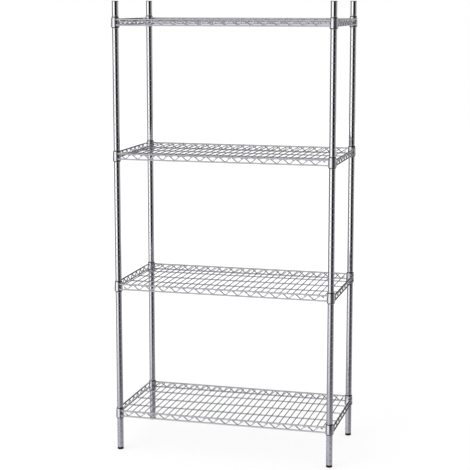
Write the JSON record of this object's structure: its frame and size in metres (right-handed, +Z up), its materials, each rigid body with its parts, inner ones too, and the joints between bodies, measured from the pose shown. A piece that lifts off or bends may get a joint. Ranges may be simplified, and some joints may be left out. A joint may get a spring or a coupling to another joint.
{
  "type": "wire shelving unit",
  "caption": "Free-standing chrome wire shelving unit: grooved tube posts carry open wire shelves on tapered corner collars over split sleeves, with levelling feet.",
  "frame": {"origin": "on the floor, at the middle of the unit", "axes": "+Z up, +X to the right along the shelves, +Y to the back, so the front faces -Y"},
  "size_m": [0.9144, 0.4572, 1.8405],
  "materials": {
    "post_chrome": "polished chrome plate",
    "shelf_chrome": "chrome plate on drawn wire",
    "collar_chrome": "chrome plate",
    "sleeve_plastic": "moulded, satin",
    "foot_plastic": "moulded, satin",
    "cap_plastic": "moulded, satin",
    "steel": "zinc plated"
  },
  "bodies": {
    "posts": {"post_front_left": "post_chrome", "post_front_right": "post_chrome", "post_back_left": "post_chrome", "post_back_right": "post_chrome", "cap_front_left": "cap_plastic", "cap_front_right": "cap_plastic", "cap_back_left": "cap_plastic", "cap_back_right": "cap_plastic", "foot_insert_front_left": "steel", "foot_insert_front_right": "steel", "foot_insert_back_left": "steel", "foot_insert_back_right": "steel", "sleeve_1_front_left": "sleeve_plastic", "sleeve_1_front_right": "sleeve_plastic", "sleeve_1_back_left": "sleeve_plastic", "sleeve_1_back_right": "sleeve_plastic", "sleeve_2_front_left": "sleeve_plastic", "sleeve_2_front_right": "sleeve_plastic", "sleeve_2_back_left": "sleeve_plastic", "sleeve_2_back_right": "sleeve_plastic", "sleeve_3_front_left": "sleeve_plastic", "sleeve_3_front_right": "sleeve_plastic", "sleeve_3_back_left": "sleeve_plastic", "sleeve_3_back_right": "sleeve_plastic", "sleeve_4_front_left": "sleeve_plastic", "sleeve_4_front_right": "sleeve_plastic", "sleeve_4_back_left": "sleeve_plastic", "sleeve_4_back_right": "sleeve_plastic"},
    "shelf_1": {"rim_wires_1": "shelf_chrome", "truss_wires_1": "shelf_chrome", "cross_wires_1": "shelf_chrome", "stringers_1": "shelf_chrome", "collars_1": "collar_chrome"},
    "shelf_2": {"rim_wires_2": "shelf_chrome", "truss_wires_2": "shelf_chrome", "cross_wires_2": "shelf_chrome", "stringers_2": "shelf_chrome", "collars_2": "collar_chrome"},
    "shelf_3": {"rim_wires_3": "shelf_chrome", "truss_wires_3": "shelf_chrome", "cross_wires_3": "shelf_chrome", "stringers_3": "shelf_chrome", "collars_3": "collar_chrome"},
    "shelf_4": {"rim_wires_4": "shelf_chrome", "truss_wires_4": "shelf_chrome", "cross_wires_4": "shelf_chrome", "stringers_4": "shelf_chrome", "collars_4": "collar_chrome"},
    "foot_stud_front_left": {"foot_stud_front_left": "steel"},
    "foot_pad_front_left": {"foot_pad_front_left": "foot_plastic"},
    "foot_stud_front_right": {"foot_stud_front_right": "steel"},
    "foot_pad_front_right": {"foot_pad_front_right": "foot_plastic"},
    "foot_stud_back_left": {"foot_stud_back_left": "steel"},
    "foot_pad_back_left": {"foot_pad_back_left": "foot_plastic"},
    "foot_stud_back_right": {"foot_stud_back_right": "steel"},
    "foot_pad_back_right": {"foot_pad_back_right": "foot_plastic"}
  },
  "joints": [
    {"name": "shelf_1_lift", "type": "slide", "parent": "posts", "child": "shelf_1", "axis": [0, 0, 1], "range_m": [0, 0.485]},
    {"name": "shelf_2_lift", "type": "slide", "parent": "posts", "child": "shelf_2", "axis": [0, 0, 1], "range_m": [0, 0.485]},
    {"name": "shelf_3_lift", "type": "slide", "parent": "posts", "child": "shelf_3", "axis": [0, 0, 1], "range_m": [0, 0.485]},
    {"name": "shelf_4_lift", "type": "slide", "parent": "posts", "child": "shelf_4", "axis": [0, 0, 1], "range_m": [0, 0.11]},
    {"name": "foot_front_left_travel", "type": "slide", "parent": "posts", "child": "foot_stud_front_left", "axis": [0, 0, -1], "range_m": [0, 0.015]},
    {"name": "foot_front_left_turn", "type": "hinge", "parent": "foot_stud_front_left", "child": "foot_pad_front_left", "pos_m": [-0.44021, -0.21161, 0], "axis": [0, 0, -1], "range_deg": [0, 3600]},
    {"name": "foot_front_right_travel", "type": "slide", "parent": "posts", "child": "foot_stud_front_right", "axis": [0, 0, -1], "range_m": [0, 0.015]},
    {"name": "foot_front_right_turn", "type": "hinge", "parent": "foot_stud_front_right", "child": "foot_pad_front_right", "pos_m": [0.44021, -0.21161, 0], "axis": [0, 0, -1], "range_deg": [0, 3600]},
    {"name": "foot_back_left_travel", "type": "slide", "parent": "posts", "child": "foot_stud_back_left", "axis": [0, 0, -1], "range_m": [0, 0.015]},
    {"name": "foot_back_left_turn", "type": "hinge", "parent": "foot_stud_back_left", "child": "foot_pad_back_left", "pos_m": [-0.44021, 0.21161, 0], "axis": [0, 0, -1], "range_deg": [0, 3600]},
    {"name": "foot_back_right_travel", "type": "slide", "parent": "posts", "child": "foot_stud_back_right", "axis": [0, 0, -1], "range_m": [0, 0.015]},
    {"name": "foot_back_right_turn", "type": "hinge", "parent": "foot_stud_back_right", "child": "foot_pad_back_right", "pos_m": [0.44021, 0.21161, 0], "axis": [0, 0, -1], "range_deg": [0, 3600]}
  ],
  "couplings": [
    {"joint": "foot_front_left_turn", "follows": "foot_front_left_travel", "rad_per_m": 4188.8},
    {"joint": "foot_front_right_turn", "follows": "foot_front_right_travel", "rad_per_m": 4188.8},
    {"joint": "foot_back_left_turn", "follows": "foot_back_left_travel", "rad_per_m": 4188.8},
    {"joint": "foot_back_right_turn", "follows": "foot_back_right_travel", "rad_per_m": 4188.8}
  ]
}
